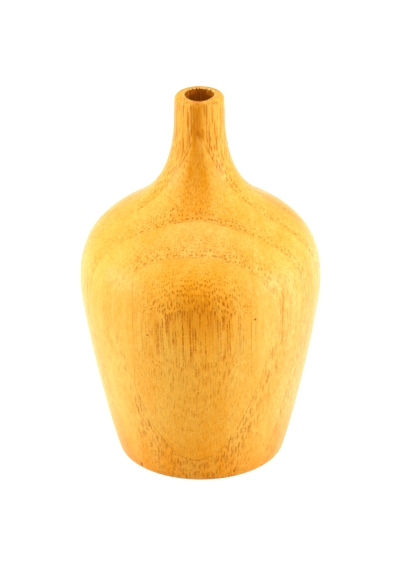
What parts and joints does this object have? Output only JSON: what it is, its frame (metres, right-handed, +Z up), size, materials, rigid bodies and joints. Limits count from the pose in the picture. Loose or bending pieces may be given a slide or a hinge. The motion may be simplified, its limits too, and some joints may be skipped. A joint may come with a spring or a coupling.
{
  "type": "bud vase",
  "caption": "Small bottle-shaped bud vase turned from a glued block of upright bamboo strips, with a narrow drilled bore for one dry stem and a flat base.",
  "frame": {"origin": "centre of the flat base, on the surface that the vase stands on", "axes": "+Z up the turning axis, which the fibres and the bore follow; -Y towards the front, across the glued layers; +X to the right"},
  "size_m": [0.0502, 0.0502, 0.08],
  "materials": {
    "amber_bamboo": "satin oiled bamboo, amber, upright fibres with dark fibre bundles",
    "honey_bamboo": "satin oiled bamboo, honey, upright fibres with dark fibre bundles",
    "straw_bamboo": "satin oiled bamboo, straw yellow, upright fibres with dark fibre bundles"
  },
  "bodies": {
    "root": {"front_left_strip": "amber_bamboo", "front_centre_strip": "amber_bamboo", "front_right_strip": "amber_bamboo", "second_left_strip": "straw_bamboo", "second_centre_strip": "straw_bamboo", "second_right_strip": "straw_bamboo", "third_left_strip": "honey_bamboo", "third_centre_strip": "honey_bamboo", "third_right_strip": "honey_bamboo", "fourth_left_strip": "honey_bamboo", "fourth_centre_strip": "honey_bamboo", "fourth_right_strip": "straw_bamboo", "fifth_left_strip": "straw_bamboo", "fifth_centre_strip": "honey_bamboo", "fifth_right_strip": "honey_bamboo", "sixth_left_strip": "honey_bamboo", "sixth_centre_strip": "straw_bamboo", "sixth_right_strip": "straw_bamboo", "seventh_left_strip": "straw_bamboo", "seventh_centre_strip": "honey_bamboo", "seventh_right_strip": "honey_bamboo", "back_centre_strip": "amber_bamboo"}
  },
  "joints": []
}
